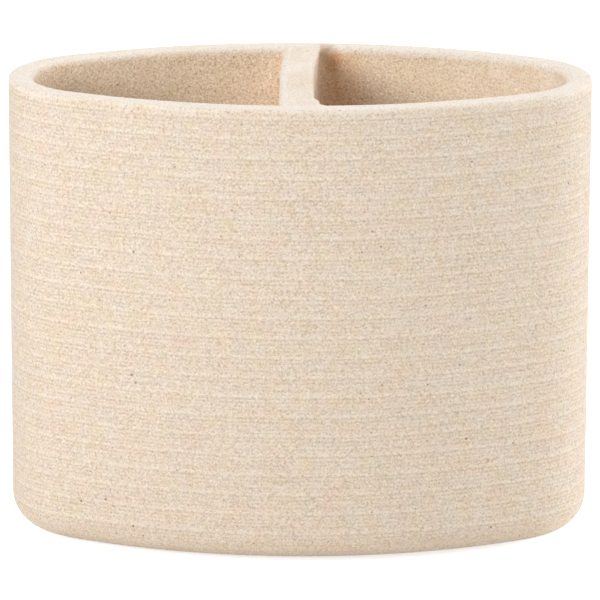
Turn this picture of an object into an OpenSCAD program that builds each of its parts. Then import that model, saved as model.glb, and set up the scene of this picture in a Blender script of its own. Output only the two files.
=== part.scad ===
// Free-standing oval toothbrush holder of sand-filled cast resin, with a divider that makes two
// compartments and four soft pads under its base.
// Millimetres, +Z up. The origin is on the floor, under the middle of the holder. Front is -Y.

/* [Vessel] */
// Width of the vessel, left to right
vessel_w = 120; // [104:1:140]
// Depth of the vessel, front to back
vessel_d = 60; // [54:1:70]
// Height of the vessel, from its base to its rim
vessel_h = 96; // [80:1:120]
// Radius of the rounded left and right ends in plan
end_r = 20; // [16:1:24]
// Thickness of the wall
wall_t = 5.2; // [4:0.2:7]
// Thickness of the floor
floor_t = 6; // [4:0.5:10]
// Radius of the rounded edge between the wall and the base
base_edge_r = 7; // [4:0.5:8]
// Radius of the two eased edges of the rim
rim_edge_r = 0.6; // [0.3:0.1:1.2]
// Radius of the fillet between the floor and the inside of the wall
floor_fillet_r = 5; // [3:0.5:7]

/* [Divider] */
// Thickness of the divider where it meets the back wall
divider_t = 8; // [6:0.5:12]
// How far the right face of the divider is hollowed
divider_hollow = 1.1; // [0.5:0.1:2]
// How far the deepest point of the hollow lies in front of the middle
hollow_shift = 2.5; // [0:0.5:5]
// Radius of the eased left and right top edges of the divider
divider_edge_r = 0.8; // [0.3:0.1:1.2]

/* [Feet] */
// Diameter of each soft pad
foot_d = 9; // [6:0.5:10]
// Radius of the eased edge of each pad's sole
foot_edge_r = 0.4; // [0.2:0.1:0.6]
// How far the pads stand out under the base
foot_proud = 1; // [0.8:0.1:2]
// Depth of the sockets that hold the pads
foot_seat = 1; // [0.5:0.1:2]
// Gap all round a pad in its socket
foot_gap = 0.15; // [0.1:0.05:0.3]
// Distance from the left or right side of the vessel to the middle of a pad
foot_in_w = 28; // [24:1:34]
// Distance from the front or back of the vessel to the middle of a pad
foot_in_d = 18.5; // [17.5:0.5:21]

/* [Hidden] */

$fn = 180;
// Finer count for the very long arc that hollows the divider
long_arc_fn = 720;

// Cuts run past the faces that they open by this much
overrun = 1;

resin = "#e0cfb6";
smooth_resin = "#e6d9c5";
pad_rubber = "#b4b0a6";

half_w = vessel_w / 2;
half_d = vessel_d / 2;
base_z = foot_proud;
floor_z = base_z + floor_t;
rim_z = base_z + vessel_h;

// The plan is an oval of four arcs that run smoothly into each other: an end arc on the left and
// right, and a long flank arc along the front and back. Each of its insets is made of arcs too.
end_cx = half_w - end_r;
flank_r = (end_cx * end_cx + half_d * half_d - end_r * end_r) / (2 * (half_d - end_r));
flank_cy = flank_r - half_d;
join_a = atan2(flank_cy, end_cx);

// The hollow of the divider is an arc that ends at the divider's right face on the back wall
hollow_reach = half_d - wall_t + hollow_shift;
hollow_r = (hollow_reach * hollow_reach + divider_hollow * divider_hollow) / (2 * divider_hollow);

foot_x = half_w - foot_in_w;
foot_y = half_d - foot_in_d;

// Block in plan between the four places where an end arc runs into a flank arc
module middle_block() {
    linear_extrude(rim_z + 2 * overrun) polygon([
        [end_cx, 0],
        [end_cx + flank_r * cos(join_a), flank_r * sin(join_a)],
        [-end_cx - flank_r * cos(join_a), flank_r * sin(join_a)],
        [-end_cx, 0],
        [-end_cx - flank_r * cos(join_a), -flank_r * sin(join_a)],
        [end_cx + flank_r * cos(join_a), -flank_r * sin(join_a)]
    ]);
}

// Solid with the oval plan. Its child is the half section of a disc of radius $arc_r, which is
// turned about the centre of each of the four arcs.
module oval_solid() {
    for (x = [-end_cx, end_cx])
        translate([x, 0, 0]) rotate_extrude() { $arc_r = end_r; children(); }
    intersection() {
        translate([0, flank_cy, 0]) rotate_extrude() { $arc_r = flank_r; children(); }
        translate([0, -flank_cy, 0]) rotate_extrude() { $arc_r = flank_r; children(); }
        middle_block();
    }
}

// Half section of the outside: a flat base, a round base edge, an upright wall and an eased rim
module outer_section(r) {
    translate([0, base_z]) square([r - base_edge_r, vessel_h]);
    translate([0, base_z + base_edge_r]) square([r - rim_edge_r, vessel_h - base_edge_r]);
    translate([0, base_z + base_edge_r]) square([r, vessel_h - base_edge_r - rim_edge_r]);
    translate([r - base_edge_r, base_z + base_edge_r]) circle(r = base_edge_r);
    translate([r - rim_edge_r, rim_z - rim_edge_r]) circle(r = rim_edge_r);
}

// Half section of the space inside the wall: a flat floor with a fillet and an upright wall
module inner_section(r) {
    inner_h = rim_z - floor_z + overrun;
    translate([0, floor_z]) square([r - floor_fillet_r, inner_h]);
    translate([0, floor_z + floor_fillet_r]) square([r, inner_h - floor_fillet_r]);
    translate([r - floor_fillet_r, floor_z + floor_fillet_r]) circle(r = floor_fillet_r);
}

// Half section of what the eased inner edge of the rim takes off, with the space beside it
module rim_easing_section(r) {
    difference() {
        translate([0, rim_z - rim_edge_r]) square([r + rim_edge_r, rim_edge_r + overrun]);
        translate([r + rim_edge_r, rim_z - rim_edge_r]) circle(r = rim_edge_r);
    }
}

module each_foot_place() {
    for (x = [-foot_x, foot_x], y = [-foot_y, foot_y]) translate([x, y]) children();
}

module vessel() {
    color(resin) difference() {
        oval_solid() outer_section($arc_r);
        oval_solid() {
            inner_section($arc_r - wall_t);
            rim_easing_section($arc_r - wall_t);
        }
        translate([0, 0, base_z - overrun]) each_foot_place()
            cylinder(d = foot_d + 2 * foot_gap, h = foot_seat + overrun);
    }
}

// Space inside the long front or back wall, taken right round its arc, with the floor fillet
module flank_space(cy) {
    translate([0, cy, 0]) rotate_extrude() inner_section(flank_r - wall_t);
}

// Front view of the divider, with its left top edge eased
module divider_front() {
    tall = rim_z - floor_z;
    translate([-divider_t / 2, floor_z]) square([divider_t, tall - divider_edge_r]);
    translate([-divider_t / 2 + divider_edge_r, floor_z])
        square([divider_t - divider_edge_r, tall]);
    translate([-divider_t / 2 + divider_edge_r, rim_z - divider_edge_r])
        circle(r = divider_edge_r);
}

// Tool that hollows the right face and eases its top edge along the same arc
module hollow_cutter() {
    translate([divider_t / 2 - divider_hollow + hollow_r, -hollow_shift, 0])
        rotate_extrude($fn = long_arc_fn) difference() {
            translate([0, floor_z - overrun])
                square([hollow_r + divider_edge_r, rim_z - floor_z + 2 * overrun]);
            translate([hollow_r, floor_z - 2 * overrun])
                square([divider_t, rim_z - divider_edge_r - floor_z + 2 * overrun]);
            translate([hollow_r + divider_edge_r, rim_z - divider_edge_r])
                circle(r = divider_edge_r);
        }
}

module divider() {
    color(smooth_resin) difference() {
        intersection() {
            translate([0, half_d, 0]) rotate([90, 0, 0])
                linear_extrude(vessel_d) divider_front();
            flank_space(flank_cy);
            flank_space(-flank_cy);
        }
        hollow_cutter();
    }
}

// Soft round pad with an eased sole, seated against the top of its socket
module foot(x, y) {
    foot_t = foot_proud + foot_seat;
    color(pad_rubber) translate([x, y, 0]) rotate_extrude() {
        translate([0, foot_edge_r]) square([foot_d / 2, foot_t - foot_edge_r]);
        square([foot_d / 2 - foot_edge_r, foot_t]);
        translate([foot_d / 2 - foot_edge_r, foot_edge_r]) circle(r = foot_edge_r);
    }
}

module foot_front_left() { foot(-foot_x, -foot_y); }
module foot_front_right() { foot(foot_x, -foot_y); }
module foot_rear_left() { foot(-foot_x, foot_y); }
module foot_rear_right() { foot(foot_x, foot_y); }

vessel();
divider();
foot_front_left();
foot_front_right();
foot_rear_left();
foot_rear_right();
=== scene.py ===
# %% [markdown]
# # A two-compartment toothbrush holder in sand-cast resin
#
# The real object is one small oval vessel with a wall across its middle, cast in resin that is
# filled with fine sand. Fine rings run right round its outside, as if a comb of five teeth had
# been drawn round the pattern for its mould, once for each band. The rim was rubbed smooth.
# Four soft pads under the base keep it from sliding.
#
# The imported CAD model gives the frame: where each piece is and how big. This script dresses it.
# The vessel gets a finer mesh with the real rings, the divider gets its soft edges and slight
# bends, and the pads keep their CAD meshes with a better material.

# %% Load the imported model and keep its meshes
import math

import bmesh
import bpy
import numpy as np
from mathutils import Matrix, Vector


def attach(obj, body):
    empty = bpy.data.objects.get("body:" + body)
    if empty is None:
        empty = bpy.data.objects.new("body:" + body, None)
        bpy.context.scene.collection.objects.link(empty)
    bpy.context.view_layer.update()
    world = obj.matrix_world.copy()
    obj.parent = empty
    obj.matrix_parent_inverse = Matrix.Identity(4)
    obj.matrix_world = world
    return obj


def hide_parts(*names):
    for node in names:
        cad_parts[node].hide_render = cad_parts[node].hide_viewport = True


MM = 0.001  # sizes are written in millimetres, and Blender works in metres

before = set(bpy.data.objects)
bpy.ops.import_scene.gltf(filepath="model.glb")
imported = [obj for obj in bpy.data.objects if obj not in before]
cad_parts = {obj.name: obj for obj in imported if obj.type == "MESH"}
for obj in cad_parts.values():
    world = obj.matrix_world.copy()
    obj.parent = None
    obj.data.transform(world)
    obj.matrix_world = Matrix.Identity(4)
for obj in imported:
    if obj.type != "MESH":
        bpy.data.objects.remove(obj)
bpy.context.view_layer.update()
print("CAD pieces:", ", ".join(sorted(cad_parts)))

# %% [markdown]
# ## The camera
#
# The wall's left and right outlines run almost parallel and the far rim is hardly narrower than
# the near one, so the picture was taken with a long lens from a little over a metre away,
# looking down a little. A long lens on a far camera keeps those proportions. A tiny roll and a
# tiny side step carry over that the real camera was not quite level.

# %% Camera
CAMERA_AWAY = 1157 * MM
CAMERA_DOWN = math.radians(15.87)
CAMERA_ROLL = math.radians(0.19)
CAMERA_LENS = 334.0  # in millimetres, as Blender counts lenses
AIM = Vector((0.11 * MM, 0, 49.04 * MM))


def link(obj):
    """Puts an object in the scene and hands it back."""
    bpy.context.scene.collection.objects.link(obj)
    return obj


camera_data = bpy.data.cameras.new("product_camera")
camera_data.lens = CAMERA_LENS
camera = link(bpy.data.objects.new("product_camera", camera_data))
to_camera = Vector((0, -math.cos(CAMERA_DOWN), math.sin(CAMERA_DOWN)))
camera.location = AIM + to_camera * CAMERA_AWAY
turned = (-to_camera).to_track_quat("-Z", "Y").to_matrix()
camera.rotation_euler = (turned @ Matrix.Rotation(CAMERA_ROLL, 3, "Z")).to_euler()
bpy.context.scene.camera = camera
print("camera at", [round(c / MM) for c in camera.location], "mm")

# %% [markdown]
# ## The plan of the vessel
#
# Seen from above, the vessel is an oval of four arcs: a tight one round each end and a long
# flat one along the front and the back. An oval could also be a scaled circle, but the arcs are
# what the CAD has, and a wall of even thickness stays exact: every inset of an arc is an arc.
# The points sit closer together round the tight ends than along the flat flanks.

# %% The oval as a ring of points
HALF_W = 60 * MM
HALF_D = 30 * MM
END_R = 20 * MM
END_STEPS = 22
FLANK_STEPS = 34

END_X = HALF_W - END_R
FLANK_R = (END_X**2 + HALF_D**2 - END_R**2) / (2 * (HALF_D - END_R))
FLANK_Y = FLANK_R - HALF_D
JOIN = math.atan2(FLANK_Y, END_X)


def arc(cx, cy, r, start, stop, steps, whole=True):
    """Points along an arc. The last point is left out unless whole is set."""
    angles = np.linspace(start, stop, steps + 1)[: steps + 1 if whole else steps]
    return [(cx + r * math.cos(a), cy + r * math.sin(a)) for a in angles]


oval = (
    arc(END_X, 0, END_R, -JOIN, JOIN, END_STEPS, False)
    + arc(0, -FLANK_Y, FLANK_R, JOIN, math.pi - JOIN, FLANK_STEPS, False)
    + arc(-END_X, 0, END_R, math.pi - JOIN, math.pi + JOIN, END_STEPS, False)
    + arc(0, FLANK_Y, FLANK_R, math.pi + JOIN, 2 * math.pi - JOIN, FLANK_STEPS, False)
)
print(len(oval), "points round the oval, flank radius", round(FLANK_R / MM, 1), "mm")

# %% [markdown]
# ## The section of the wall
#
# Cut through, the wall is one line: from the floor inside, round a fillet, up the inner face,
# over the softened rim, down the outer face and round the base edge to the underside. It is
# drawn as points, with the rows close together where the comb left its rings and near the rim,
# where the surface changes within a millimetre or two.
#
# Each point also carries three numbers that stay with it when the section is swept: how much of
# the comb's work it shows, how far it lies inside the rubbed zone of the rim, and whether it is
# on the raw inside. The material reads them. The rubbed mark runs on a little past 0 and 1, so
# that the material can let the edge of that zone wander, as it does on hand-finished work.

# %% Sizes of the section
BASE_Z = 1 * MM
FLOOR_Z = 7 * MM
RIM_Z = 97 * MM
WALL_T = 5.2 * MM
BASE_EDGE_R = 7 * MM
FLOOR_FILLET_R = 5 * MM
RIM_OUT_R = 0.6 * MM
RIM_IN_R = 1.3 * MM  # hand-rubbed, so softer than the outer edge
FLAT_LAP = 1 * MM  # how far the section runs on over the floor and the underside

INNER_ROW = 2 * MM
FINE_ROW = 0.25 * MM  # inside, close to the rim
FINE_ROWS_REACH = 4 * MM  # how far below the rim those fine rows start
RIM_ROW = 0.5 * MM  # across the flat of the rim
COMBED_ROW = 0.14 * MM
BASE_ROWS = 56
ROUND_STEPS = 8


def rows(start, stop, pitch):
    """Places from start to stop, both left out, about pitch apart."""
    count = max(2, round(abs(stop - start) / pitch))
    return np.linspace(start, stop, count + 1)[1:-1]


print("about", round((RIM_Z - FLOOR_Z) / INNER_ROW), "rows up the inner face and",
      round((RIM_Z - BASE_Z) / COMBED_ROW), "up the outer face")

# %% The three marks
# How far below the rim the rubbed zone ends, and the width over which it fades
RUBBED_OUTSIDE = (0.8 * MM, 1.1 * MM)
RUBBED_INSIDE = (1.05 * MM, 1.4 * MM)
RUBBED_LEAST = -0.6
RUBBED_MOST = 1.6
COMBED_FROM = (0.4 * MM, 1.4 * MM)  # below the rim, where the rings start and are whole
BASE_COMBED = 0.25  # how much of the comb's work is left at the foot of the base edge
BASE_FADE = (1.5 * MM, 8 * MM)  # heights between which it grows to all of it
HALF_RAW = 0.5  # the flat of the rim lies between the raw inside and the outside


def smooth_step(x, edge0, edge1):
    """0 at edge0, 1 at edge1 and an even curve between them."""
    t = np.clip((x - edge0) / (edge1 - edge0), 0, 1)
    return float(t * t * (3 - 2 * t))


def rubbed_mark(height, reach, fade):
    """0.5 at reach below the rim, more above that and less below it."""
    mark = 0.5 + (reach - (RIM_Z - height)) / fade
    return float(np.clip(mark, RUBBED_LEAST, RUBBED_MOST))


def combed_mark(height):
    """0 at the rim, and 1 a little way below it."""
    return smooth_step(RIM_Z - height, *COMBED_FROM)


print("rubbed mark 1 mm below the rim: outside",
      round(rubbed_mark(RIM_Z - 1 * MM, *RUBBED_OUTSIDE), 2), "and inside",
      round(rubbed_mark(RIM_Z - 1 * MM, *RUBBED_INSIDE), 2))

# %% The section as a line of points
section = []  # (outward, height, combed, rubbed, raw)
inner = -WALL_T
section.append((inner - FLOOR_FILLET_R - FLAT_LAP, FLOOR_Z, 0, RUBBED_LEAST, 1))
for x, z in arc(inner - FLOOR_FILLET_R, FLOOR_Z + FLOOR_FILLET_R, FLOOR_FILLET_R,
                -math.pi / 2, 0, ROUND_STEPS):
    section.append((x, z, 0, RUBBED_LEAST, 1))
for z in [*rows(FLOOR_Z + FLOOR_FILLET_R, RIM_Z - FINE_ROWS_REACH, INNER_ROW),
          *rows(RIM_Z - FINE_ROWS_REACH, RIM_Z - RIM_IN_R, FINE_ROW)]:
    section.append((inner, z, 0, rubbed_mark(z, *RUBBED_INSIDE), 1))
for x, z in arc(inner + RIM_IN_R, RIM_Z - RIM_IN_R, RIM_IN_R, math.pi, math.pi / 2,
                ROUND_STEPS):
    section.append((x, z, 0, rubbed_mark(z, *RUBBED_INSIDE), 1))
for x in rows(inner + RIM_IN_R, -RIM_OUT_R, RIM_ROW):
    section.append((x, RIM_Z, 0, RUBBED_MOST, HALF_RAW))
for x, z in arc(-RIM_OUT_R, RIM_Z - RIM_OUT_R, RIM_OUT_R, math.pi / 2, 0, ROUND_STEPS):
    section.append((x, z, combed_mark(z), rubbed_mark(z, *RUBBED_OUTSIDE), 0))
for z in rows(RIM_Z - RIM_OUT_R, BASE_Z + BASE_EDGE_R, COMBED_ROW):
    section.append((0, z, combed_mark(z), rubbed_mark(z, *RUBBED_OUTSIDE), 0))
for x, z in arc(-BASE_EDGE_R, BASE_Z + BASE_EDGE_R, BASE_EDGE_R, 0, -math.pi / 2, BASE_ROWS):
    still_combed = BASE_COMBED + (1 - BASE_COMBED) * smooth_step(z, *BASE_FADE)
    section.append((x, z, still_combed, RUBBED_LEAST, 0))
section.append((-BASE_EDGE_R - FLAT_LAP, BASE_Z, 0, RUBBED_LEAST, 0))
print(len(section), "points in the section")


# %% Make the two lines into meshes of edges
def edge_mesh(name, points, closed):
    """A mesh that holds only points and the edges between them."""
    count = len(points)
    edges = [(i, (i + 1) % count) for i in range(count if closed else count - 1)]
    mesh = bpy.data.meshes.new(name)
    mesh.from_pydata(points, edges, [])
    return link(bpy.data.objects.new(name, mesh))


MARKS = ("combed", "rubbed", "raw")

vessel = edge_mesh("vessel_body", [(x, y, 0) for x, y in oval], True)
# Curve to Mesh lays a section's X outwards and its Y downwards
section_line = edge_mesh("wall_section", [(p[0], -p[1], 0) for p in section], False)
for k, mark in enumerate(MARKS):
    layer = section_line.data.attributes.new(mark, "FLOAT", "POINT")
    layer.data.foreach_set("value", [p[2 + k] for p in section])
print(len(vessel.data.edges), "edges round the plan and", len(section_line.data.edges),
      "in the section")

# %% [markdown]
# ## Nodes, one small helper
#
# Both the Geometry Nodes tree and the materials are built from the same few steps: add a node,
# set its options, fill or link its sockets. One function does that.

# %% A helper that adds a node
def add(tree, kind, inputs=None, **options):
    """Adds a node. inputs maps a socket's name or number to a value or to another socket."""
    node = tree.nodes.new(kind)
    for name, value in options.items():
        setattr(node, name, value)
    for key, value in (inputs or {}).items():
        if isinstance(key, str):
            socket = next(s for s in node.inputs if s.name == key and s.enabled)
        else:
            socket = node.inputs[key]
        if isinstance(value, bpy.types.NodeSocket):
            tree.links.new(value, socket)
        else:
            socket.default_value = value
    return node


def calc(tree, operation, *values):
    """The result of a Math node."""
    return add(tree, "ShaderNodeMath", dict(enumerate(values)), operation=operation).outputs[0]


# %% [markdown]
# ## The sweep and the comb's rings
#
# The vessel follows a rule: one section carried round one oval. Geometry Nodes does that with
# Curve to Mesh, and the same tree then presses the rings into the outer face.
#
# The comb was a little over 4 mm wide and had five teeth, so the rings come in fives, and each
# pass ends in one stronger ridge. One pass is drawn as a curve against height. The tree repeats
# it up the wall, lets it swell and fade a little along each ring, and pushes each point in or
# out along its normal by a few hundredths of a millimetre. Displacing real rows of points, and
# not only the shading, is what lets the rings catch light from any side.
#
# The colour paints the light and shade of the rings: paler on the upper side of each ridge, which
# light from above catches, and darker in the grooves. The same curve, set a little higher up the
# wall, gives that painted light, and the tree leaves it on the mesh as a fourth mark.

# %% Build the tree
COMB_WIDTH = 4.165 * MM
COMB_RELIEF = 0.03 * MM  # height of the strongest ridge
COMB_SWELL = 0.9  # span of the noise that lifts or lowers a ridge, where 1 is the strongest
COMB_WAVER = 0.15 * MM  # span of the noise that moves a ring up or down
COMB_SEED = 3.0
RIDGE_LIGHT_ABOVE = 0.035  # how far the painted light lies above its ridge, as a share of the comb's width
# One pass of the comb from its lower edge to its upper edge: (share of the width, ridge)
COMB_PASS = ((0.0, 0.0), (0.0875, 0.55), (0.1875, 0.10), (0.2875, 0.66), (0.375, 0.25),
             (0.4625, 0.66), (0.5625, 0.05), (0.6625, 0.66), (0.7625, 0.0), (0.8875, 1.0),
             (1.0, 0.0))

comb_tree = bpy.data.node_groups.new("swept_and_combed_wall", "GeometryNodeTree")
sockets = {}
for name, kind, value in (
    ("Geometry", "NodeSocketGeometry", None),
    ("Section", "NodeSocketObject", None),
    ("Comb width", "NodeSocketFloat", COMB_WIDTH),
    ("Relief", "NodeSocketFloat", COMB_RELIEF),
    ("Swell", "NodeSocketFloat", COMB_SWELL),
    ("Waver", "NodeSocketFloat", COMB_WAVER),
    ("Seed", "NodeSocketFloat", COMB_SEED),
    ("Material", "NodeSocketMaterial", None),
):
    socket = comb_tree.interface.new_socket(name, in_out="INPUT", socket_type=kind)
    if value is not None:
        socket.default_value = value
    sockets[name] = socket.identifier
comb_tree.interface.new_socket("Geometry", in_out="OUTPUT", socket_type="NodeSocketGeometry")

given = add(comb_tree, "NodeGroupInput").outputs
path_curve = add(comb_tree, "GeometryNodeMeshToCurve", {"Mesh": given["Geometry"]})
section_mesh = add(comb_tree, "GeometryNodeObjectInfo", {"Object": given["Section"]})
section_curve = add(comb_tree, "GeometryNodeMeshToCurve",
                    {"Mesh": section_mesh.outputs["Geometry"]})
swept = add(comb_tree, "GeometryNodeCurveToMesh",
            {"Curve": path_curve.outputs[0], "Profile Curve": section_curve.outputs[0]})
print("inputs of the tree:", ", ".join(sockets))

# %% The relief at each point
# Cells of the noise in a metre: along the rings, and up the wall
WAVER_CELLS = (18, 60)
SWELL_CELLS = (110, 700)
NOISE_MEAN = 0.5

place = add(comb_tree, "GeometryNodeInputPosition").outputs[0]
height = add(comb_tree, "ShaderNodeSeparateXYZ", {0: place}).outputs["Z"]


def ring_noise(cells, shift, detail=1.0):
    """Noise that is drawn out along the rings. It stays seamless, because it reads the place
    in space and not the length round the oval."""
    stretched = add(comb_tree, "ShaderNodeVectorMath",
                    {0: place, 1: (cells[0], cells[0], cells[1])}, operation="MULTIPLY")
    seed = calc(comb_tree, "ADD", given["Seed"], shift)
    return add(comb_tree, "ShaderNodeTexNoise",
               {"Vector": stretched.outputs[0], "W": seed, "Scale": 1.0, "Detail": detail},
               noise_dimensions="4D").outputs[0]


def comb_pass(at):
    """The comb's curve, repeated for every pass."""
    node = add(comb_tree, "ShaderNodeFloatCurve", {"Value": calc(comb_tree, "FRACT", at)})
    points = node.mapping.curves[0].points
    points[0].location, points[-1].location = COMB_PASS[0], COMB_PASS[-1]
    for x, y in COMB_PASS[1:-1]:
        points.new(x, y)
    node.mapping.update()
    return node.outputs[0]


waver = calc(comb_tree, "SUBTRACT", ring_noise(WAVER_CELLS, shift=0.0), NOISE_MEAN)
wander = calc(comb_tree, "MULTIPLY", waver, given["Waver"])
level = calc(comb_tree, "ADD", height, wander)
share = calc(comb_tree, "DIVIDE", level, given["Comb width"])
swell = calc(comb_tree, "SUBTRACT", ring_noise(SWELL_CELLS, shift=7.0, detail=2.0), NOISE_MEAN)
swell = calc(comb_tree, "MULTIPLY", given["Swell"], swell)
# painted light on the upper side of each ridge, and painted shade in the grooves
dust = calc(comb_tree, "ADD", comb_pass(share), swell)
ridge = calc(comb_tree, "ADD", comb_pass(calc(comb_tree, "ADD", share, RIDGE_LIGHT_ABOVE)), swell)
combed = add(comb_tree, "GeometryNodeInputNamedAttribute", {"Name": "combed"},
             data_type="FLOAT").outputs[0]
push = calc(comb_tree, "MULTIPLY", calc(comb_tree, "MULTIPLY", ridge, combed), given["Relief"])
outwards = add(comb_tree, "GeometryNodeInputNormal").outputs[0]
offset = add(comb_tree, "ShaderNodeVectorMath", {0: outwards, "Scale": push},
             operation="SCALE").outputs[0]
print("about", round((RIM_Z - BASE_Z) / COMB_WIDTH), "passes of the comb")

# %% Close the tree and run it
# the painted light and shade of the rings goes on the mesh as a fourth mark
painted_light = add(comb_tree, "GeometryNodeStoreNamedAttribute",
             {"Geometry": swept.outputs[0], "Name": "dust", "Value": dust},
             data_type="FLOAT", domain="POINT")
moved = add(comb_tree, "GeometryNodeSetPosition",
            {"Geometry": painted_light.outputs[0], "Offset": offset})
realized = add(comb_tree, "GeometryNodeRealizeInstances", {0: moved.outputs[0]})
finished = add(comb_tree, "GeometryNodeSetMaterial",
               {"Geometry": realized.outputs[0], "Material": given["Material"]})
add(comb_tree, "NodeGroupOutput", {0: finished.outputs[0]})

resin = bpy.data.materials.new("sand_cast_resin")  # its nodes come further down


def run_tree(obj, tree, values):
    """Runs a Geometry Nodes tree on obj and keeps the result as its plain mesh."""
    modifier = obj.modifiers.new(tree.name, "NODES")
    modifier.node_group = tree
    for name, value in values.items():
        modifier[sockets[name]] = value
    bpy.context.view_layer.update()
    graph = bpy.context.evaluated_depsgraph_get()
    mesh = bpy.data.meshes.new_from_object(obj.evaluated_get(graph))
    obj.modifiers.remove(modifier)
    obj.data = mesh
    return mesh


wall_mesh = run_tree(vessel, comb_tree, {"Section": section_line, "Material": resin})
bpy.data.objects.remove(section_line)
print("swept wall:", len(wall_mesh.polygons), "faces")

# %% [markdown]
# ## Floor, underside and pad sockets
#
# The sweep leaves two open loops: one on the floor inside and one on the underside. The floor
# is closed with one flat face. The underside gets the four shallow round sockets that the pads
# sit in, so its flat part is filled between the loop and four circles.

# %% Close the two loops
FOOT_X = 32 * MM
FOOT_Y = 11.5 * MM
SOCKET_R = 4.65 * MM
SOCKET_DEEP = 1 * MM
SOCKET_STEPS = 40

shape = bmesh.new()
shape.from_mesh(wall_mesh)
open_edges = [e for e in shape.edges if e.is_boundary]
inside_floor = (BASE_Z + FLOOR_Z) / 2
floor_edges = [e for e in open_edges if e.verts[0].co.z > inside_floor]
under_edges = [e for e in open_edges if e.verts[0].co.z < inside_floor]
bmesh.ops.contextual_create(shape, geom=floor_edges)


def circle_edges(cx, cy, z):
    """A ring of new edges, as wide as a socket."""
    ring = [shape.verts.new((x, y, z))
            for x, y in arc(cx, cy, SOCKET_R, 0, 2 * math.pi, SOCKET_STEPS, False)]
    return [shape.edges.new((ring[k - 1], ring[k])) for k in range(SOCKET_STEPS)]


for sx in (-1, 1):
    for sy in (-1, 1):
        mouth = circle_edges(sx * FOOT_X, sy * FOOT_Y, BASE_Z)
        end = circle_edges(sx * FOOT_X, sy * FOOT_Y, BASE_Z + SOCKET_DEEP)
        for low, high in zip(mouth, end):
            shape.faces.new((*low.verts, *reversed(high.verts)))
        bmesh.ops.contextual_create(shape, geom=end)
        under_edges += mouth
bmesh.ops.triangle_fill(shape, edges=under_edges, use_beauty=True)
print(len(floor_edges), "edges round the floor and", len(under_edges), "on the underside")

# %% Finish the vessel's mesh
SHARP = math.radians(38)  # an edge that turns by more than this is shaded as a sharp one


def finish_mesh(shape, mesh):
    """Turns all faces outwards, shades them smooth and writes them to the mesh."""
    bmesh.ops.recalc_face_normals(shape, faces=shape.faces)
    for face in shape.faces:
        face.smooth = True
    shape.to_mesh(mesh)
    print(mesh.name, "has", len(shape.faces), "faces,",
          sum(e.is_boundary for e in shape.edges), "open edges and a volume of",
          round(shape.calc_volume() / (10 * MM) ** 3, 1), "cm3")
    shape.free()
    mesh.update()
    mesh.set_sharp_from_angle(angle=SHARP)


finish_mesh(shape, wall_mesh)

# %% [markdown]
# ## The divider
#
# On the real object the divider was cast with the vessel, so no seam shows. Its top is level
# with the rim. The left face is straight in the front half and draws in a little towards the
# back. The right face is hollowed by one long shallow curve, widens a little towards the back
# wall, and ends in a small bead at the front wall. Fillets take the right face round into both
# walls and the left face into the back wall, and the one at the back right grows lower down.
# Both top edges are rounded.
#
# A box with bevelled edges could be bent to this, but each of these forms has a size that was
# measured. So it is built as rows of the same upright section from front to back, each with its
# own left and right face. The first and last rows run a little way into the wall. There their
# top dips a hair below the rim, so that the two surfaces never lie in the same plane.

# %% The divider's outline from above
REACH = FLANK_R - WALL_T - FLANK_Y  # from the middle to the inner face of either wall

LEFT_AT = -4.22 * MM  # where the left face is in the front half
LEFT_BOW_R = 280 * MM  # radius of the curve that draws it in towards the back
LEFT_FILLET_R = 0.6 * MM

HOLLOW_AT = 2.72 * MM  # where the right face is at the deepest place of its hollow
HOLLOW_Y = -6 * MM  # that place, a little in front of the middle
HOLLOW_R = 550 * MM
SPREAD = 0.35 * MM  # by how much the right face widens towards the back wall
SPREAD_FROM, SPREAD_TO = 17 * MM, 5 * MM  # how far from the back wall it starts and is whole
BEAD = 1.05 * MM  # by how much it widens again at the front wall
BEAD_FROM, BEAD_TO = 6.6 * MM, 3.4 * MM  # how far from the front wall it starts and is whole
FRONT_FILLET_R = 1.2 * MM
BACK_FILLET_R = 2.4 * MM  # at the rim
BACK_FILLET_GROWS = 0.3  # how much wider it gets for each millimetre lower down
BACK_FILLET_MOST = 7 * MM


def fillet(y, radius):
    """How far a face swings out where it runs into the back wall, or with -y the front wall."""
    near = np.clip((y - (REACH - radius)) / radius, 0, 1)
    return radius * (1 - math.sqrt(1 - near * near))


def left_face(y):
    """Straight in the front half, and drawn in a little towards the back."""
    return LEFT_AT + max(y, 0) ** 2 / (2 * LEFT_BOW_R) - fillet(y, LEFT_FILLET_R)


def right_face(y, deeper=0.0):
    """The long hollow with its spread, bead and fillets. deeper is the way down from the top."""
    hollow = HOLLOW_AT + (y - HOLLOW_Y) ** 2 / (2 * HOLLOW_R)
    spread = SPREAD * smooth_step(y, REACH - SPREAD_FROM, REACH - SPREAD_TO)
    bead = BEAD * smooth_step(-y, REACH - BEAD_FROM, REACH - BEAD_TO)
    back_r = min(BACK_FILLET_R + BACK_FILLET_GROWS * deeper, BACK_FILLET_MOST)
    return hollow + spread + bead + fillet(y, back_r) + fillet(-y, FRONT_FILLET_R)


for y in (-REACH, 0, REACH):
    print("divider at y", round(y / MM, 1), "from", round(left_face(y) / MM, 2), "to",
          round(right_face(y) / MM, 2), "mm")

# %% One upright section of the divider
LEFT_EDGE_R = 0.9 * MM
RIGHT_EDGE_R = 0.7 * MM
DRAFT = math.radians(1.0)
DIVIDER_FOOT = FLOOR_Z - 0.5 * MM  # its foot stands a little way in the floor
DIP = 0.06 * MM
DIP_FROM = 0.9 * MM  # how far past the wall's inner face the top starts to dip
DIP_OVER = 0.3 * MM

SIDE_ROWS = 28
FINE_ROWS_DEEP = 2 * MM  # how far below the top edges the fine rows go
TOP_ROWS = 12

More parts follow.
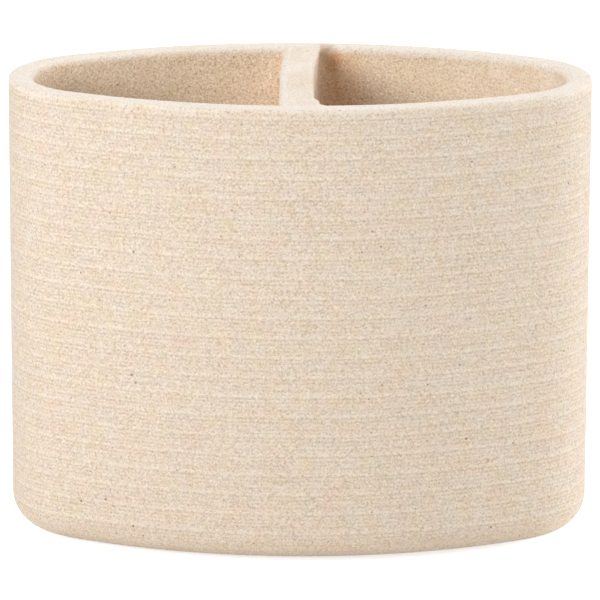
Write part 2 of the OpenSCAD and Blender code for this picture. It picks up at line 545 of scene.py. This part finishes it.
# How far below the rim the rubbed tone reaches, and the width over which it fades: rubbing, and
# on both faces painted light too, reaching further down the left face, which faces the main lamp
LEFT_RUBBED_AND_LIT = (1.5 * MM, 1.2 * MM)
RIGHT_RUBBED_AND_LIT = (0.5 * MM, 0.9 * MM)
LIT_EDGE_MARK = 1.2  # the rubbed mark on the left edge, raised as a painted highlight where it faces the main lamp
TOP_MARK = 0.6  # the same on the rest of the top
LIT_EDGE_WIDE = 2 * MM  # how far from the left face the one has turned into the other


def divider_section(y):
    """Points of the upright section, from the bottom left, over the top, to the bottom right."""
    left, right = left_face(y), right_face(y)
    past = max(0.0, abs(y) - REACH - DIP_FROM)
    top = RIM_Z - DIP * smooth_step(past, 0, DIP_OVER)
    low, high = top - LEFT_EDGE_R, top - RIGHT_EDGE_R
    points = []
    for z in [*np.linspace(DIVIDER_FOOT, low - FINE_ROWS_DEEP, SIDE_ROWS),
              *rows(low - FINE_ROWS_DEEP, low, FINE_ROW)]:
        points.append((left - (low - z) * math.tan(DRAFT), z, rubbed_mark(z, *LEFT_RUBBED_AND_LIT)))
    points += [(x, z, LIT_EDGE_MARK) for x, z in arc(left + LEFT_EDGE_R, low, LEFT_EDGE_R,
                                                 math.pi, math.pi / 2, ROUND_STEPS)]
    for x in np.linspace(left + LEFT_EDGE_R, right - RIGHT_EDGE_R, TOP_ROWS)[1:-1]:
        along = smooth_step(x, left + LEFT_EDGE_R, left + LIT_EDGE_WIDE)
        points.append((x, top, LIT_EDGE_MARK - (LIT_EDGE_MARK - TOP_MARK) * along))
    points += [(x, z, TOP_MARK) for x, z in arc(right - RIGHT_EDGE_R, high, RIGHT_EDGE_R,
                                                math.pi / 2, 0, ROUND_STEPS)]
    for z in [*rows(high, high - FINE_ROWS_DEEP, FINE_ROW),
              *np.linspace(high - FINE_ROWS_DEEP, DIVIDER_FOOT, SIDE_ROWS)]:
        points.append((right_face(y, high - z) + (high - z) * math.tan(DRAFT), z,
                       min(TOP_MARK, rubbed_mark(z, *RIGHT_RUBBED_AND_LIT))))
    return points


print(len(divider_section(0)), "points in a section of the divider")

# %% Build the divider's mesh
DIVIDER_LAP = 1.6 * MM  # how far the ends run into the wall
LONG_ROWS = 76
FILLET_ROWS = 48  # close together, because the back fillet turns fast
LAP_ROWS = 5
RAW_BELOW = 0.8 * MM  # how far below the rim the raw faces start

stations = [*np.linspace(-REACH - DIVIDER_LAP, REACH - BACK_FILLET_MOST, LONG_ROWS)[:-1],
            *np.linspace(REACH - BACK_FILLET_MOST, REACH, FILLET_ROWS)[:-1],
            *np.linspace(REACH, REACH + DIVIDER_LAP, LAP_ROWS)]
sections = [divider_section(y) for y in stations]
across = len(sections[0])
verts = [(x, y, z) for y, row in zip(stations, sections) for x, z, _ in row]
faces = [(r * across + k, r * across + (k + 1) % across,
          (r + 1) * across + (k + 1) % across, (r + 1) * across + k)
         for r in range(len(stations) - 1) for k in range(across)]
front_end = tuple(reversed(range(across)))
back_end = tuple(range((len(stations) - 1) * across, len(stations) * across))
divider_mesh = bpy.data.meshes.new("divider_wall")
divider_mesh.from_pydata(verts, [], [*faces, front_end, back_end])

# the rubbed marks, with the painted highlight on the left edge and painted light on the faces
rubbed = [mark for row in sections for _, _, mark in row]
raw = [float(z < RIM_Z - RAW_BELOW) for _, _, z in verts]
for mark, values in zip(MARKS, ([0.0] * len(verts), rubbed, raw)):
    divider_mesh.attributes.new(mark, "FLOAT", "POINT").data.foreach_set("value", values)
shape = bmesh.new()
shape.from_mesh(divider_mesh)
finish_mesh(shape, divider_mesh)
divider = link(bpy.data.objects.new("divider_wall", divider_mesh))


# %% [markdown]
# ## Colours
#
# Colours are written as sRGB hex values, as a colour picker gives them. Shaders work in linear
# light, so one function turns the hex value into linear numbers.

# %% Hex to linear colour
def hex_colour(code):
    """A Blender colour from an sRGB hex value such as #E0CFB6."""
    parts = [int(code[k : k + 2], 16) / 255 for k in (1, 3, 5)]
    return tuple(c / 12.92 if c <= 0.04045 else ((c + 0.055) / 1.055) ** 2.4
                 for c in parts) + (1.0,)


print("middle grey in linear light:", round(hex_colour("#808080")[0], 3))

# %% [markdown]
# ## Sand-cast resin
#
# The material is a polyester resin filled with fine sand. To the eye it is a pale warm beige
# with no gloss: the grains are about a third of a millimetre across, some paler and some
# browner than the rest, with a rare dark or rusty one. Over a few millimetres the colour drifts
# a little to pink or to straw. Pictures of such a surface could be wrapped round the holder,
# but noise that reads the place in space has no seams and never repeats.
#
# The four marks on the mesh steer it. Where the comb went, the upper side of each ridge is
# painted paler and the grooves between them browner: painted light and shade of the rings. Round
# the base edge, where the comb hardly reached, the colour is warmer. The rubbed rim is paler and
# almost smooth, because rubbing leaves fine white dust in the pores, and slow noise lets the edge
# of that zone wander. The raw inside, never combed or rubbed, is browner and its grains stand out
# most; its tone is set lighter as painted light that lifts the inside. Towards the right end,
# which faces the main lamp, it is painted paler still.

# %% Colours of the resin
COMBED_TONE = hex_colour("#DACABC")
BASE_TONE = hex_colour("#E1CDB5")
RUBBED_TONE = hex_colour("#E9DED1")
# the raw inside, set lighter than the outside as painted light that lifts the inside
RAW_TONE_WITH_PAINTED_LIGHT = hex_colour("#EDD6BA")
# painted light on the right end of the raw inside, which faces the main lamp
RIGHT_LIGHT_TONE = hex_colour("#FBEFDE")
# painted shade in the comb's grooves
GROOVE_SHADE_TONE = hex_colour("#C2AB8C")
STRAW = hex_colour("#D8C792")
PINK = hex_colour("#E1BCA5")
# pale grains, and the painted light on the comb's ridges
PALE_GRAIN_AND_RIDGE_LIGHT = hex_colour("#F0E6D5")
GRAIN_BROWN = hex_colour("#9A866F")
RAW_PALE = hex_colour("#FFF5E6")
RAW_BROWN = hex_colour("#AA8560")
DARK_GRAIN = hex_colour("#5A5148")
RUSTY_GRAIN = hex_colour("#B98458")
print("combed wall in linear light:", [round(c, 2) for c in COMBED_TONE[:3]])


# %% Helpers for materials
def mix(factor, a, b, blend="MIX"):
    """a where the factor is 0 and b where it is 1, or another blend of the two."""
    node = add(tree, "ShaderNodeMix", data_type="RGBA", blend_type=blend)
    for socket, value in ((node.inputs[0], factor), (node.inputs[6], a), (node.inputs[7], b)):
        if isinstance(value, bpy.types.NodeSocket):
            tree.links.new(value, socket)
        else:
            socket.default_value = value
    return node.outputs[2]


def noise(size, detail=1.0, shift=0.0):
    """Noise whose cells are size across. shift picks another part of it."""
    return add(tree, "ShaderNodeTexNoise",
               {"Vector": where, "W": shift, "Scale": 1 / size, "Detail": detail},
               noise_dimensions="4D").outputs[0]


def ramp(value, low, high, to_low=0.0, to_high=1.0):
    """value carried from low..high to to_low..to_high, and held at the ends."""
    return add(tree, "ShaderNodeMapRange", {"Value": value, "From Min": low, "From Max": high,
                                            "To Min": to_low, "To Max": to_high}).outputs[0]


def times(*values):
    """The product of some sockets or numbers."""
    result = values[0]
    for value in values[1:]:
        result = calc(tree, "MULTIPLY", result, value)
    return result


def by_mark(mark, amount, change):
    """amount where the mark is 0, and amount + change where it is 1."""
    return calc(tree, "MULTIPLY_ADD", mark, change, amount)


# %% Tones of the zones
WANDER = 14 * MM  # size of the waves in the edge of the rubbed zone
EDGE_SHIFT = 0.35  # how far they move it, in the rubbed mark
MIDDLE_NOISE = (0.3, 0.7)  # noise hardly ever leaves this range
RUBBED_RANGE = (0.1, 0.9)
RIGHT_LIGHT_RANGE = (12 * MM, 50 * MM)  # how far right of the middle the painted light starts and is whole
RIGHT_LIGHT_MOST = 0.45

resin.use_nodes = True
tree = resin.node_tree
tree.nodes.clear()
where = add(tree, "ShaderNodeTexCoord").outputs["Object"]
combed, zone, inside, dust = (add(tree, "ShaderNodeAttribute", attribute_name=m).outputs["Fac"]
                              for m in (*MARKS, "dust"))
edge_shift = ramp(noise(WANDER, shift=12.0), *MIDDLE_NOISE, -EDGE_SHIFT, EDGE_SHIFT)
rubbed = ramp(calc(tree, "ADD", zone, edge_shift), *RUBBED_RANGE)
raw = times(inside, calc(tree, "SUBTRACT", 1.0, rubbed))

side, depth, level = add(tree, "ShaderNodeSeparateXYZ", {0: where}).outputs
# painted light towards the right end of the inside
painted_light = ramp(side, *RIGHT_LIGHT_RANGE, 0.0, RIGHT_LIGHT_MOST)
outside = mix(combed, BASE_TONE, COMBED_TONE)
tone = mix(rubbed, mix(inside, outside, mix(painted_light, RAW_TONE_WITH_PAINTED_LIGHT, RIGHT_LIGHT_TONE)), RUBBED_TONE)
print("resin, zones:", len(tree.nodes), "nodes")

# %% Straw and pink blotches, and the rings
BLOTCH = 3.8 * MM
BLOTCH_DETAIL = 2.5
BLOTCH_RANGE = (0.42, 0.75)  # the noise at which a blotch starts and is whole
BLOTCH_AMOUNT = 0.48
BLOTCH_RUBBED = -0.3  # what the rubbed zone takes off that
BLOTCH_RAW = -0.15  # and what the raw inside takes off it
RING_CONTRAST = 0.40
GROOVE_SHADE_RANGE = (0.35, -0.15)  # the painted ridge light at which the painted shade of a groove starts and is whole
RIDGE_LIGHT_RANGE = (0.25, 1.1)  # the same for the painted light on a ridge

drift = by_mark(raw, by_mark(rubbed, BLOTCH_AMOUNT, BLOTCH_RUBBED), BLOTCH_RAW)
for shift, blotch_tone in ((1.0, STRAW), (5.0, PINK)):
    blotch = ramp(noise(BLOTCH, detail=BLOTCH_DETAIL, shift=shift), *BLOTCH_RANGE)
    tone = mix(times(blotch, drift), tone, blotch_tone)
# painted shade in the grooves and painted light on the upper side of the ridges
for light_range, ring_tone in ((GROOVE_SHADE_RANGE, GROOVE_SHADE_TONE), (RIDGE_LIGHT_RANGE, PALE_GRAIN_AND_RIDGE_LIGHT)):
    ring = ramp(dust, *light_range, 0.0, RING_CONTRAST)
    tone = mix(times(combed, ring), tone, ring_tone)
print("resin, with blotches and rings:", len(tree.nodes), "nodes")

# %% Pale and brown grains
GRAIN = 0.34 * MM
BROWN_GRAIN = GRAIN * 1.2
GRAIN_RANGE = (0.48, 0.72)  # the noise at which a grain starts and is whole
PALE_AMOUNT = (0.76, 0.24)  # outside, and what the raw inside adds to that
BROWN_AMOUNT = (0.50, 0.08)
QUIET_RUBBED = -0.25  # what the rubbed zone takes off the grains
QUIET_RIGHT_LIGHT = 0.6  # what the painted light on the raw inside takes off them

grain = noise(GRAIN, shift=2.0)
brown_grain = noise(BROWN_GRAIN, shift=9.0)
quiet = by_mark(rubbed, 1.0, QUIET_RUBBED)
quiet = calc(tree, "SUBTRACT", quiet, times(raw, painted_light, QUIET_RIGHT_LIGHT))
pale_amount = times(by_mark(raw, *PALE_AMOUNT), quiet)
brown_amount = times(by_mark(raw, *BROWN_AMOUNT), quiet)
tone = mix(times(ramp(grain, *GRAIN_RANGE), pale_amount), tone,
           mix(raw, PALE_GRAIN_AND_RIDGE_LIGHT, RAW_PALE))
tone = mix(times(ramp(brown_grain, *GRAIN_RANGE), brown_amount), tone,
           mix(raw, GRAIN_BROWN, RAW_BROWN))
print("resin, with grains:", len(tree.nodes), "nodes")

# %% [markdown]
# ## The corner behind the divider's right side
#
# That corner is painted darker and browner: the divider's painted shadow on the back wall, with a
# darker painted shade in the corner just under the rim. On the rim above it the rubbing missed a
# small place, and its tone also holds painted shade. A mask could be painted on the mesh, but
# each mark is so simple that a few ramps across, along and down place it: the painted shadow and
# shade are boxes with soft sides, and the missed place is a drawn-out ball with a ragged edge.
# The painted shadow and shade multiply the colour, so that the grains stay in it.

# %% Painted shadow and shade in the corner
# Each pair says where the mark is nothing and where it is whole
PAINTED_SHADOW_TONE = hex_colour("#F6D9BF")
PAINTED_SHADOW_AMOUNT = 0.65
PAINTED_SHADOW_LEFT = (2.8 * MM, 5.4 * MM)
PAINTED_SHADOW_RIGHT = (15 * MM, 7.5 * MM)
PAINTED_SHADOW_DEPTH = (-5 * MM, 15 * MM)
CORNER_SHADE_TONE = hex_colour("#E2CDB8")
CORNER_SHADE_LEFT = (4.8 * MM, 6.4 * MM)
CORNER_SHADE_RIGHT = (9 * MM, 7.2 * MM)
CORNER_SHADE_DEPTH = (15 * MM, 20 * MM)
CORNER_SHADE_LEVEL = (RIM_Z - 6 * MM, RIM_Z - 3 * MM)

# painted shadow of the divider on the back wall beside it
painted_shadow = times(raw, ramp(side, *PAINTED_SHADOW_LEFT), ramp(side, *PAINTED_SHADOW_RIGHT),
                ramp(depth, *PAINTED_SHADOW_DEPTH))
tone = mix(times(painted_shadow, PAINTED_SHADOW_AMOUNT), tone, PAINTED_SHADOW_TONE, "MULTIPLY")
# painted shade in the corner just under the rim
painted_corner_shade = times(raw, ramp(side, *CORNER_SHADE_LEFT), ramp(side, *CORNER_SHADE_RIGHT),
                ramp(depth, *CORNER_SHADE_DEPTH), ramp(level, *CORNER_SHADE_LEVEL))
tone = mix(painted_corner_shade, tone, CORNER_SHADE_TONE, "MULTIPLY")
print("resin, with the stained corner:", len(tree.nodes), "nodes")

# %% Dark and rusty specks, over everything so far
SPECK_APART = 2.2 * MM
SPECK_EDGE = (0.14, 0.08)  # outer and inner edge of a speck, as a share of SPECK_APART
SPECK_CHANCE = 0.42  # a cell holds a speck where its random number is above this
RUSTY_CHANCE = 0.72
SPECK_POWER = 1.7  # makes most specks faint and few of them strong
SPECK_MOST = 0.85

cells = add(tree, "ShaderNodeTexVoronoi", {"Vector": where, "Scale": 1 / SPECK_APART})
chosen = add(tree, "ShaderNodeSeparateColor", {0: cells.outputs["Color"]}).outputs
near = ramp(cells.outputs["Distance"], *SPECK_EDGE)
strength = calc(tree, "POWER", chosen[1], SPECK_POWER)
speck_tone = mix(calc(tree, "GREATER_THAN", chosen[2], RUSTY_CHANCE), DARK_GRAIN, RUSTY_GRAIN)
held = calc(tree, "GREATER_THAN", chosen[0], SPECK_CHANCE)
tone = mix(times(near, held, strength, SPECK_MOST), tone, speck_tone)
print("resin, with specks:", len(tree.nodes), "nodes")

# %% The place on the rim that the rubbing missed, with painted shade
# unrubbed raw skin, darkened further as painted shade of a shallow dip that the mesh does not
# have
MISSED_AND_SHADED_TONE = hex_colour("#C7A789")
MISSED_AND_SHADED_AT = (4.5 * MM, 25.6 * MM, 96.3 * MM)
MISSED_AND_SHADED_SIZE = (4.0 * MM, 4.1 * MM, 3.0 * MM)
MISSED_AND_SHADED_EDGE = (1.0, 0.35)  # where it is nothing and where it is whole, as a share of its size
MISSED_AND_SHADED_LEFT = (3.9 * MM, 4.3 * MM)
RAGGED = 0.15
RAGGED_SIZE = 1.5 * MM

from_it = add(tree, "ShaderNodeVectorMath", {0: where, 1: MISSED_AND_SHADED_AT}, operation="SUBTRACT")
from_it = add(tree, "ShaderNodeVectorMath", {0: from_it.outputs[0], 1: MISSED_AND_SHADED_SIZE},
              operation="DIVIDE")
away = add(tree, "ShaderNodeVectorMath", {0: from_it.outputs[0]}, operation="LENGTH")
ragged = ramp(noise(RAGGED_SIZE, shift=3.0), *MIDDLE_NOISE, -RAGGED, RAGGED)
away = calc(tree, "ADD", away.outputs["Value"], ragged)
missed_and_shaded = times(ramp(away, *MISSED_AND_SHADED_EDGE), ramp(side, *MISSED_AND_SHADED_LEFT))
tone = mix(missed_and_shaded, tone, MISSED_AND_SHADED_TONE)
print("resin, with the missed place:", len(tree.nodes), "nodes")

# %% [markdown]
# ## Relief and skin
#
# The grains stand out by a few hundredths of a millimetre. As real points that would take
# millions of faces, so a bump bends the light instead, and the rubbed rim keeps less of it.
# The skin is matt, a little less so where it was rubbed. A slight sheen stands for the fine dust
# on it: it keeps the surface pale where it turns away from the eye.

# %% Relief of the grain, and the finished skin
BUMP = 0.04 * MM
BUMP_RUBBED = -0.6  # what the rubbed zone takes off it
FINE_GRAIN = GRAIN * 0.6
FINE_AMOUNT = 0.5
ROUGH = 0.85
ROUGH_RUBBED = -0.12

bump_height = calc(tree, "ADD", grain, times(noise(FINE_GRAIN, shift=4.0), FINE_AMOUNT))
bump_share = by_mark(rubbed, 1.0, BUMP_RUBBED)
bump = add(tree, "ShaderNodeBump", {"Strength": 1.0, "Distance": BUMP,
                                    "Height": times(bump_height, bump_share)})
skin = add(tree, "ShaderNodeBsdfPrincipled",
           {"Base Color": tone, "Roughness": by_mark(rubbed, ROUGH, ROUGH_RUBBED),
            "IOR": 1.5, "Sheen Weight": 0.25, "Sheen Roughness": 0.5, "Normal": bump.outputs[0]})
add(tree, "ShaderNodeOutputMaterial", {"Surface": skin.outputs[0]})
divider_mesh.materials.append(resin)
print("resin, finished:", len(tree.nodes), "nodes")

# %% [markdown]
# ## Pads
#
# Small self-adhesive pads of soft silicone rubber, moulded and slightly cloudy. Their CAD
# meshes are right, so they only get a material: a milky grey with a matt, faintly uneven skin.

# %% Pad material
CLOUD = 3 * MM
CLOUD_RANGE = (0.35, 0.65)
PAD_DARK = hex_colour("#B9B5AB")
PAD_PALE = hex_colour("#C6C2B8")
PAD_DIMPLE = 0.6 * MM
PAD_BUMP = 0.02 * MM

pad = bpy.data.materials.new("cloudy_silicone_pad")
pad.use_nodes = True
tree = pad.node_tree
tree.nodes.clear()
where = add(tree, "ShaderNodeTexCoord").outputs["Object"]
cloud = noise(CLOUD, detail=3.0)
pad_tone = mix(ramp(cloud, *CLOUD_RANGE), PAD_DARK, PAD_PALE)
pad_bump = add(tree, "ShaderNodeBump", {"Strength": 1.0, "Distance": PAD_BUMP,
                                        "Height": noise(PAD_DIMPLE)})
pad_skin = add(tree, "ShaderNodeBsdfPrincipled",
               {"Base Color": pad_tone, "Roughness": 0.55, "IOR": 1.43,
                "Normal": pad_bump.outputs[0]})
add(tree, "ShaderNodeOutputMaterial", {"Surface": pad_skin.outputs[0]})
pad_pieces = [node for name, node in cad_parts.items() if name.startswith("foot_")]
for node in pad_pieces:
    node.data.materials.clear()
    node.data.materials.append(pad)
print(len(pad_pieces), "pads in", pad.name)

# %% [markdown]
# ## Floor and world
#
# The picture was taken in a white studio, on a white floor that throws light back up at the
# base. Here too the holder stands on a plain white floor, in a very faint white world.
#
# The floor is lit and shaded like any surface, so it keeps the object's shadow. Only for the
# camera and for reflections it also glows, which lifts it to white. The world does the same: it
# is white where it is seen, and gives the object only a tenth of that as light.

# %% Floor
FLOOR_HALF = 3000 * MM
FLOOR_TONE = hex_colour("#F6F5F3")
FLOOR_GLOW = 0.70


def seen():
    """1 for what the camera sees, straight or in a gloss or a glass, and 0 for other light."""
    rays = add(tree, "ShaderNodeLightPath").outputs
    straight_or_gloss = calc(tree, "MAXIMUM", rays["Is Camera Ray"], rays["Is Glossy Ray"])
    return calc(tree, "MAXIMUM", straight_or_gloss, rays["Is Transmission Ray"])


floor_mesh = bpy.data.meshes.new("studio_floor")
floor_mesh.from_pydata([(x * FLOOR_HALF, y * FLOOR_HALF, 0)
                        for x, y in ((-1, -1), (1, -1), (1, 1), (-1, 1))], [], [(0, 1, 2, 3)])
studio_floor = link(bpy.data.objects.new("studio_floor", floor_mesh))
paper = bpy.data.materials.new("white_studio_paper")
paper.use_nodes = True
tree = paper.node_tree
tree.nodes.clear()
matt = add(tree, "ShaderNodeBsdfDiffuse", {"Color": FLOOR_TONE})
glow = add(tree, "ShaderNodeEmission", {"Strength": calc(tree, "MULTIPLY", seen(), FLOOR_GLOW)})
both = add(tree, "ShaderNodeAddShader", {0: matt.outputs[0], 1: glow.outputs[0]})
add(tree, "ShaderNodeOutputMaterial", {"Surface": both.outputs[0]})
floor_mesh.materials.append(paper)
print("floor", round(2 * FLOOR_HALF), "m square, in", paper.name)

# %% World
WORLD_LIGHT = 0.10

world = bpy.data.worlds.new("white_studio")
bpy.context.scene.world = world
world.use_nodes = True
tree = world.node_tree
tree.nodes.clear()
world_strength = calc(tree, "MULTIPLY_ADD", seen(), 1.0 - WORLD_LIGHT, WORLD_LIGHT)
sky = add(tree, "ShaderNodeBackground",
          {"Color": hex_colour("#FFFFFF"), "Strength": world_strength})
add(tree, "ShaderNodeOutputWorld", {"Surface": sky.outputs[0]})
print("the world lights the holder at", WORLD_LIGHT, "of white")

# %% [markdown]
# ## Six lamps
#
# The soft shadow and the shade on the wall say where the light came from. The main lamp stands
# on the left, in front and a little above. A low lamp near the camera reaches the shaded part
# of the front, and two on the right light the right end. One behind, high up, lights the back
# rim and reaches down into the compartments. One overhead lights the rim and the divider's top
# evenly. All are square area lamps, because a small lamp throws a shadow with a hard edge, and
# the photograph has only soft ones.

# %% Lamps
LAMPS_AWAY = 1600 * MM
LAMPS_AIM = Vector((0, 0, 70 * MM))
LAMPS = (  # name, azimuth (0 is in front, 90 on the right), elevation, side in mm, watts
    ("key_lamp_left", -52, 24, 600, 12),
    ("low_lamp_front", -20, 18, 500, 7.2),
    ("low_lamp_right", 105, 6, 400, 13.2),
    ("soft_lamp_right", 85, 12, 600, 6.2),
    ("high_lamp_behind", 180, 55, 800, 11.6),
    ("lamp_overhead", 0, 80, 1200, 6.6),
)

for name, azimuth, elevation, size, watts in LAMPS:
    data = bpy.data.lights.new(name, "AREA")
    data.shape, data.size, data.energy = "SQUARE", size * MM, watts
    a, e = math.radians(azimuth), math.radians(elevation)
    out = Vector((math.sin(a) * math.cos(e), -math.cos(a) * math.cos(e), math.sin(e)))
    lamp = link(bpy.data.objects.new(name, data))
    lamp.location = LAMPS_AIM + out * LAMPS_AWAY
    lamp.rotation_euler = out.to_track_quat("Z", "Y").to_euler()
    print(name, "at", [round(c / MM) for c in lamp.location], "mm,", watts, "W")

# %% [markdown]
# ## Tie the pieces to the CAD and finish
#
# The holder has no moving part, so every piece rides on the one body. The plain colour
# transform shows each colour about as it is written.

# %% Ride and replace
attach(vessel, "root")
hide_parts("vessel")
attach(divider, "root")
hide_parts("divider")

bpy.context.scene.view_settings.view_transform = "Standard"
